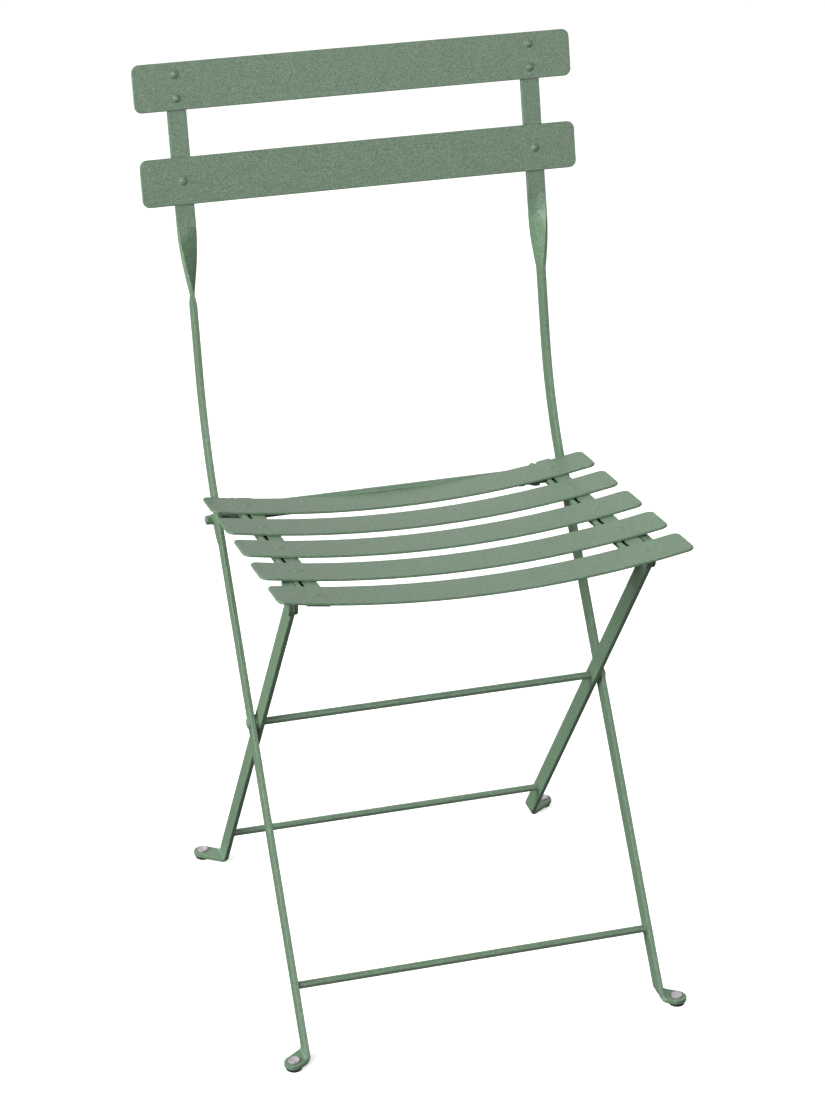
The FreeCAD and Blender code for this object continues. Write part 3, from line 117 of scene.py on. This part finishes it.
class Finish:
    """A material built node by node, with its pattern on object coordinates."""

    def __init__(self, name):
        self.material = bpy.data.materials.new(name)
        self.material.use_nodes = True
        self.tree = self.material.node_tree
        self.shader = self.tree.nodes["Principled BSDF"]
        self.place = self.tree.nodes.new("ShaderNodeTexCoord")

    def add(self, kind, **settings):
        node = self.tree.nodes.new(kind)
        for key, value in settings.items():
            setattr(node, key, value)
        return node

    def link(self, source, target):
        self.tree.links.new(source, target)

    def drive(self, source, socket):
        """Links a source to one of the shader's sockets."""
        self.link(source, self.shader.inputs[socket])

    def fix(self, socket, value):
        """Gives one of the shader's sockets a constant."""
        self.shader.inputs[socket].default_value = value

    def noise(self, scale, detail=2.0, roughness=0.5):
        node = self.add("ShaderNodeTexNoise")
        node.inputs["Scale"].default_value = scale
        node.inputs["Detail"].default_value = detail
        node.inputs["Roughness"].default_value = roughness
        self.link(self.place.outputs["Object"], node.inputs["Vector"])
        return node.outputs["Fac"]

    def cells(self, scale):
        """Two independent random values for each small cell."""
        node = self.add("ShaderNodeTexVoronoi")
        node.inputs["Scale"].default_value = scale
        self.link(self.place.outputs["Object"], node.inputs["Vector"])
        split = self.add("ShaderNodeSeparateColor")
        self.link(node.outputs["Color"], split.inputs[0])
        return split.outputs[0], split.outputs[1]

    def span(self, source, low, high, to_low=0.0, to_high=1.0):
        """Maps low..high to to_low..to_high, held at both ends."""
        node = self.add("ShaderNodeMapRange")
        set_range(node, low, high, to_low, to_high)
        self.link(source, node.inputs[RANGE_VALUE])
        return node.outputs[RANGE_OUT]

    def mix(self, factor, first, second):
        """Blends two colours, each a fixed one or a socket."""
        node = self.add("ShaderNodeMix", data_type="RGBA")
        self.link(factor, node.inputs["Factor"])
        for key, value in ((MIX_COLOUR_A, first), (MIX_COLOUR_B, second)):
            if isinstance(value, tuple):
                node.inputs[key].default_value = value + (1.0,)
            else:
                self.link(value, node.inputs[key])
        return node.outputs[MIX_COLOUR_OUT]

    def product(self, first, second):
        node = self.add("ShaderNodeMath", operation="MULTIPLY")
        self.link(first, node.inputs[0])
        self.link(second, node.inputs[1])
        return node.outputs[0]

    def edges(self, reach):
        """One along sharp edges and nought on the open faces."""
        rounded = self.add("ShaderNodeBevel")
        rounded.samples = BEVEL_SAMPLES
        rounded.inputs["Radius"].default_value = reach
        surface = self.add("ShaderNodeNewGeometry")
        agreement = self.add("ShaderNodeVectorMath", operation="DOT_PRODUCT")
        self.link(rounded.outputs["Normal"], agreement.inputs[0])
        self.link(surface.outputs["Normal"], agreement.inputs[1])
        return self.span(agreement.outputs["Value"], EDGE_AGREEMENT, FACE_AGREEMENT, 1.0, 0.0)

    def bump(self, *layers):
        """Layers are (height, depth in metres), the coarse one first."""
        normal = None
        for height, depth in layers:
            node = self.add("ShaderNodeBump")
            node.inputs["Strength"].default_value = 1.0
            node.inputs["Distance"].default_value = depth
            self.link(height, node.inputs["Height"])
            if normal is not None:
                self.link(normal, node.inputs["Normal"])
            normal = node.outputs["Normal"]
        self.drive(normal, "Normal")


def powder_coat(name):
    """Fine-textured powder coat: pigment grains, a cloudy tone, an orange-peel skin and a
    paler line where the coat runs thin over edges."""
    coat = Finish(name)
    cloud = coat.span(coat.noise(CLOUD_SCALE, 3.0), 0.3, 0.7)
    grains = coat.span(coat.noise(GRAIN_SCALE, 4.0, 0.75), 0.36, 0.66)
    bright_cells, dark_cells = coat.cells(FLAKE_SCALE)
    glint = coat.span(bright_cells, 0.82, 0.98)
    pit = coat.span(dark_cells, 0.80, 0.99)
    tone = coat.mix(grains, SAGE_DARK, SAGE_LIGHT)
    body = coat.mix(coat.span(cloud, 0.0, 1.0, *BODY_MIX), tone, SAGE)
    lit = coat.mix(coat.span(glint, 0.0, 1.0, 0.0, GLINT_MOST), body, SAGE_LIGHT)
    specked = coat.mix(coat.span(pit, 0.0, 1.0, 0.0, PIT_MOST), lit, SAGE_DARK)
    thin = coat.span(coat.noise(WEAR_SCALE, 3.0, 0.6), 0.42, 0.68)
    worn = coat.product(coat.edges(WEAR_REACH), coat.span(thin, 0.0, 1.0, 0.0, WEAR_MOST))
    coat.drive(coat.mix(worn, specked, SAGE_WORN), "Base Color")
    coat.drive(coat.span(grains, 0.0, 1.0, *COAT_ROUGHNESS), "Roughness")
    coat.fix("Specular IOR Level", 0.5)
    coat.fix("Coat Weight", 0.10)
    coat.fix("Coat Roughness", 0.28)
    coat.bump((coat.noise(PEEL_SCALE, 2.0), PEEL_DEPTH), (grains, GRAIN_DEPTH))
    return coat.material


def zinc_plate(name):
    """Dull zinc with a mottled skin."""
    zinc = Finish(name)
    mottle = zinc.span(zinc.noise(ZINC_MOTTLE_SCALE, 4.0, 0.65), 0.3, 0.7)
    fine = zinc.noise(ZINC_FINE_SCALE, 2.0)
    zinc.drive(zinc.mix(mottle, ZINC_DARK, ZINC_LIGHT), "Base Color")
    zinc.drive(zinc.span(mottle, 0.0, 1.0, *ZINC_ROUGHNESS), "Roughness")
    zinc.fix("Metallic", ZINC_METALLIC)
    zinc.bump((mottle, ZINC_MOTTLE_DEPTH), (fine, ZINC_FINE_DEPTH))
    return zinc.material


def moulded_rubber(name):
    """Matt black rubber with a fine moulded grain and a little dust."""
    rubber = Finish(name)
    grain = rubber.noise(RUBBER_GRAIN_SCALE, 3.0)
    dust = rubber.span(rubber.noise(RUBBER_DUST_SCALE, 4.0, 0.7), 0.45, 0.8)
    rubber.drive(rubber.mix(dust, RUBBER, RUBBER_DUST), "Base Color")
    rubber.drive(rubber.span(grain, 0.3, 0.7, *RUBBER_ROUGHNESS), "Roughness")
    rubber.bump((grain, RUBBER_GRAIN_DEPTH))
    return rubber.material


def studio_floor(name):
    """Pale seamless floor with a faint light of its own."""
    floor = Finish(name)
    haze = floor.noise(FLOOR_HAZE_SCALE, 2.0)
    floor.drive(floor.mix(haze, FLOOR_SHADED, FLOOR_PALE), "Base Color")
    floor.fix("Roughness", 0.9)
    floor.fix("Specular IOR Level", 0.1)
    floor.fix("Emission Color", (1.0, 1.0, 1.0, 1.0))
    floor.fix("Emission Strength", FLOOR_GLOW)
    return floor.material


FINISHES = {
    "powder_coat": powder_coat("sage_powder_coat"),
    "stud_metal": zinc_plate("dull_zinc"),
    "glide_rubber": moulded_rubber("black_rubber"),
}


def paint_frame():
    """Every piece of the frame takes the finish of its own material slot."""
    for part in frame["record"]["subparts"]:
        piece = frame["nodes"][part["node"]]
        finish = FINISHES[part["material_slot"]]
        if not piece.material_slots:
            piece.data.materials.append(finish)
        for holder in piece.material_slots:
            holder.material = finish


# ------------------------------------------------------------------ new pieces
def select_alone(piece):
    """Leaves one piece selected and active, and gives it back."""
    bpy.ops.object.select_all(action="DESELECT")
    piece.select_set(True)
    bpy.context.view_layer.objects.active = piece
    return piece


def finish_piece(piece, name, body, slot):
    """Names a new piece, sets its place into its mesh and lets it ride on its body."""
    select_alone(piece)
    bpy.ops.object.transform_apply(location=True, rotation=True, scale=True)
    piece.name = name
    piece.data.name = name
    piece.data.materials.clear()
    piece.data.materials.append(FINISHES[slot])
    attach(piece, body)
    piece.select_set(False)


def box_middle(node):
    low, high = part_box(node)
    return (low + high) / 2


# ----------------------------------------------------------------- weld beads
BEAD_LUMP_SIZE = 2.2 * MM
BEAD_LUMP_DEPTH = 0.7 * MM
FOOT_ROD_BEAD = 1.0 * MM
FOOT_ROD_BEAD_OFF_LEG = 0.4 * MM
REST_ROD_BEAD = 0.9 * MM
REST_ROD_BEAD_OFF_LEG = 0.3 * MM


def roughen(piece):
    """Uneven skin of a weld, pushed in and out along the surface."""
    lumps = bpy.data.textures.new(piece.name + "_lumps", "CLOUDS")
    lumps.noise_scale = BEAD_LUMP_SIZE
    push = piece.modifiers.new("lumps", "DISPLACE")
    push.texture = lumps
    push.texture_coords = "GLOBAL"
    push.strength = BEAD_LUMP_DEPTH
    push.mid_level = 0.5
    bpy.ops.object.modifier_apply(modifier=push.name)


def weld_ring(name, centre, radius, bead, body):
    """Bead of weld round a rod that runs along X."""
    bpy.ops.mesh.primitive_torus_add(major_segments=64, minor_segments=12,
                                     major_radius=radius, minor_radius=bead,
                                     location=centre, rotation=(0, math.pi / 2, 0))
    ring = select_alone(bpy.context.object)
    roughen(ring)
    bpy.ops.object.shade_smooth()
    finish_piece(ring, name, body, "powder_coat")


def weld_foot_rod(rod, body):
    """Beads where a foot rod butts against the inner faces of two legs."""
    low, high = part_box(rod)
    middle = box_middle(rod)
    radius = (high.z - low.z) / 2
    for side, x, inward in (("left", high.x, -1), ("right", low.x, 1)):
        place = (x + inward * FOOT_ROD_BEAD_OFF_LEG, middle.y, middle.z)
        weld_ring("%s_weld_%s" % (rod, side), place, radius, FOOT_ROD_BEAD, body)


def weld_rest_rod():
    """Beads on both sides of each long leg where the rest rod crosses behind it."""
    low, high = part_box("seat_rest_rod")
    middle = box_middle("seat_rest_rod")
    radius = (high.z - low.z) / 2
    for side in ("left", "right"):
        saddle_low, saddle_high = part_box("rest_rod_saddle_" + side)
        for end, x, outward in (("outer", saddle_high.x, 1), ("inner", saddle_low.x, -1)):
            place = (x + outward * REST_ROD_BEAD_OFF_LEG, middle.y, middle.z)
            weld_ring("seat_rest_rod_weld_%s_%s" % (side, end), place, radius,
                      REST_ROD_BEAD, "long_leg_frame")


# ---------------------------------------------------------------- glide studs
# Rings pressed into the top of the stud, from the rim inward. Each is (how far in, as a
# share of the radius, and how far up, as a share of the height).
STUD_RINGS = (
    (0.10, 0.0),
    (0.07, -0.22),
    (0.42, 0.0),
    (0.08, -0.12),
    (0.10, 0.05),
)
STUD_BEVEL = 0.05
FACES_UP = 0.9


def glide_stud(end, side, body):
    """Pressed stud: a flat disc with a rolled rim, a shallow dish and a small centre mark."""
    node = "glide_stud_%s_%s" % (end, side)
    low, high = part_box(node)
    middle = box_middle(node)
    radius = (high.x - low.x) / 2
    tab_top = low.z + BAR_THICKNESS
    height = high.z - tab_top
    bpy.ops.mesh.primitive_cylinder_add(vertices=64, radius=radius, depth=height,
                                        location=(middle.x, middle.y, tab_top + height / 2))
    disc = select_alone(bpy.context.object)
    bpy.ops.object.mode_set(mode="EDIT")
    bpy.ops.mesh.select_mode(type="FACE")
    bpy.ops.mesh.select_all(action="DESELECT")
    bpy.ops.object.mode_set(mode="OBJECT")
    for face in disc.data.polygons:
        face.select = face.normal.z > FACES_UP
    bpy.ops.object.mode_set(mode="EDIT")
    for inward, rise in STUD_RINGS:
        bpy.ops.mesh.inset(thickness=radius * inward, depth=0.0)
        bpy.ops.transform.translate(value=(0, 0, height * rise))
    bpy.ops.object.mode_set(mode="OBJECT")
    soften = disc.modifiers.new("soften", "BEVEL")
    soften.width = radius * STUD_BEVEL
    soften.segments = 3
    soften.angle_limit = math.radians(30)
    bpy.ops.object.modifier_apply(modifier=soften.name)
    bpy.ops.object.shade_smooth_by_angle(angle=math.radians(35))
    finish_piece(disc, "stud_disc_%s_%s" % (end, side), body, "stud_metal")
    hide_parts(node)


def build_details():
    weld_foot_rod("front_foot_rod", "long_leg_frame")
    weld_foot_rod("rear_foot_rod", "short_leg_frame")
    weld_rest_rod()
    for side in ("left", "right"):
        glide_stud("front", side, "long_leg_frame")
        glide_stud("rear", side, "short_leg_frame")


# ------------------------------------------------------------- floor and light
FLOOR_SIZE = 60.0

# The world is bright behind the chair and above it. Each ramp is (direction's part along
# the axis where it starts and where it ends, strength at its start and at its end).
BACKDROP_RAMP = (-0.25, 0.5, 0.0, 0.63)
HORIZON_RAMP = (-0.04, 0.06, 0.0, 1.0)
OVERHEAD_RAMP = (0.25, 0.95, 0.10, 0.36)

# Each softbox is (name, place, width and height, power in watts, shows in reflections).
# The two side ones stay out of reflections, so the slats do not glare side on.
SOFTBOXES = (
    ("key_softbox", (-2.4, -3.1, 2.5), (1.4, 1.4), 122.0, True),
    ("front_softbox", (1.0, -4.0, 2.1), (3.0, 2.0), 66.0, True),
    ("left_softbox", (-3.2, 0.1, 1.3), (1.2, 1.8), 175.0, False),
    ("right_softbox", (3.2, 0.1, 1.3), (1.2, 1.8), 45.0, False),
)
SOFTBOX_TARGET = (0.0, 0.0, 0.45)


def build_floor():
    """The floor is lit and shadowed, but adds no light of its own to the chair."""
    bpy.ops.mesh.primitive_plane_add(size=FLOOR_SIZE, location=(0, 0, 0))
    floor = bpy.context.object
    floor.name = "studio_floor"
    floor.data.materials.append(studio_floor("pale_floor"))
    floor.visible_diffuse = False
    floor.visible_glossy = False


def build_world():
    world = bpy.data.worlds.new("studio_air")
    bpy.context.scene.world = world
    world.use_nodes = True
    tree = world.node_tree
    air = tree.nodes["Background"]
    air.inputs["Color"].default_value = (1.0, 1.0, 1.0, 1.0)
    place = tree.nodes.new("ShaderNodeTexCoord")
    split = tree.nodes.new("ShaderNodeSeparateXYZ")
    tree.links.new(place.outputs["Generated"], split.inputs[0])

    def ramp(axis, limits):
        node = tree.nodes.new("ShaderNodeMapRange")
        node.interpolation_type = "SMOOTHSTEP"
        set_range(node, *limits)
        tree.links.new(split.outputs[axis], node.inputs[RANGE_VALUE])
        return node.outputs[RANGE_OUT]

    def combine(operation, first, second):
        node = tree.nodes.new("ShaderNodeMath")
        node.operation = operation
        tree.links.new(first, node.inputs[0])
        tree.links.new(second, node.inputs[1])
        return node.outputs[0]

    backdrop = combine("MULTIPLY", ramp("Y", BACKDROP_RAMP), ramp("Z", HORIZON_RAMP))
    overhead = ramp("Z", OVERHEAD_RAMP)
    tree.links.new(combine("ADD", backdrop, overhead), air.inputs["Strength"])


def build_lights():
    for name, place, size, power, in_reflections in SOFTBOXES:
        data = bpy.data.lights.new(name, "AREA")
        data.shape = "RECTANGLE"
        data.size, data.size_y = size
        data.energy = power
        light = bpy.data.objects.new(name, data)
        bpy.context.scene.collection.objects.link(light)
        aim = Vector(SOFTBOX_TARGET) - Vector(place)
        light.location = place
        light.rotation_mode = "QUATERNION"
        light.rotation_quaternion = aim.to_track_quat("-Z", "Y")
        light.visible_glossy = in_reflections


# --------------------------------------------------------------------- camera
PIVOT_ROD_LOW, PIVOT_ROD_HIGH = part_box("pivot_rod")
PIVOT_Y = (PIVOT_ROD_LOW.y + PIVOT_ROD_HIGH.y) / 2
CAMERA_AZIMUTH = -15.86
CAMERA_ELEVATION = 24.87
CAMERA_ROLL = -0.55
CAMERA_PLACE = Vector((-0.7029, -2.4245, 1.5773))
FOCAL_LENGTH_MM = 99.31
SENSOR_MM = 36.0


def build_camera():
    """CAMERA_PLACE is measured from the floor under the middle of the pivot rod."""
    azimuth = math.radians(CAMERA_AZIMUTH)
    elevation = math.radians(CAMERA_ELEVATION)
    roll = math.radians(CAMERA_ROLL)
    back = Vector((math.sin(azimuth) * math.cos(elevation),
                   -math.cos(azimuth) * math.cos(elevation), math.sin(elevation)))
    level_right = Vector((0, 0, 1)).cross(back).normalized()
    level_up = back.cross(level_right)
    right = math.cos(roll) * level_right + math.sin(roll) * level_up
    up = -math.sin(roll) * level_right + math.cos(roll) * level_up
    turn = Matrix((right, up, back)).transposed()
    data = bpy.data.cameras.new("studio_camera")
    data.sensor_fit = "AUTO"
    data.sensor_width = SENSOR_MM
    data.sensor_height = SENSOR_MM
    data.lens = FOCAL_LENGTH_MM
    camera = bpy.data.objects.new("studio_camera", data)
    bpy.context.scene.collection.objects.link(camera)
    camera.rotation_mode = "QUATERNION"
    camera.rotation_quaternion = turn.to_quaternion()
    camera.location = CAMERA_PLACE + Vector((0, PIVOT_Y, 0))
    bpy.context.scene.camera = camera


paint_frame()
build_details()
build_floor()
build_world()
build_lights()
build_camera()
bpy.context.scene.view_settings.view_transform = "Standard"
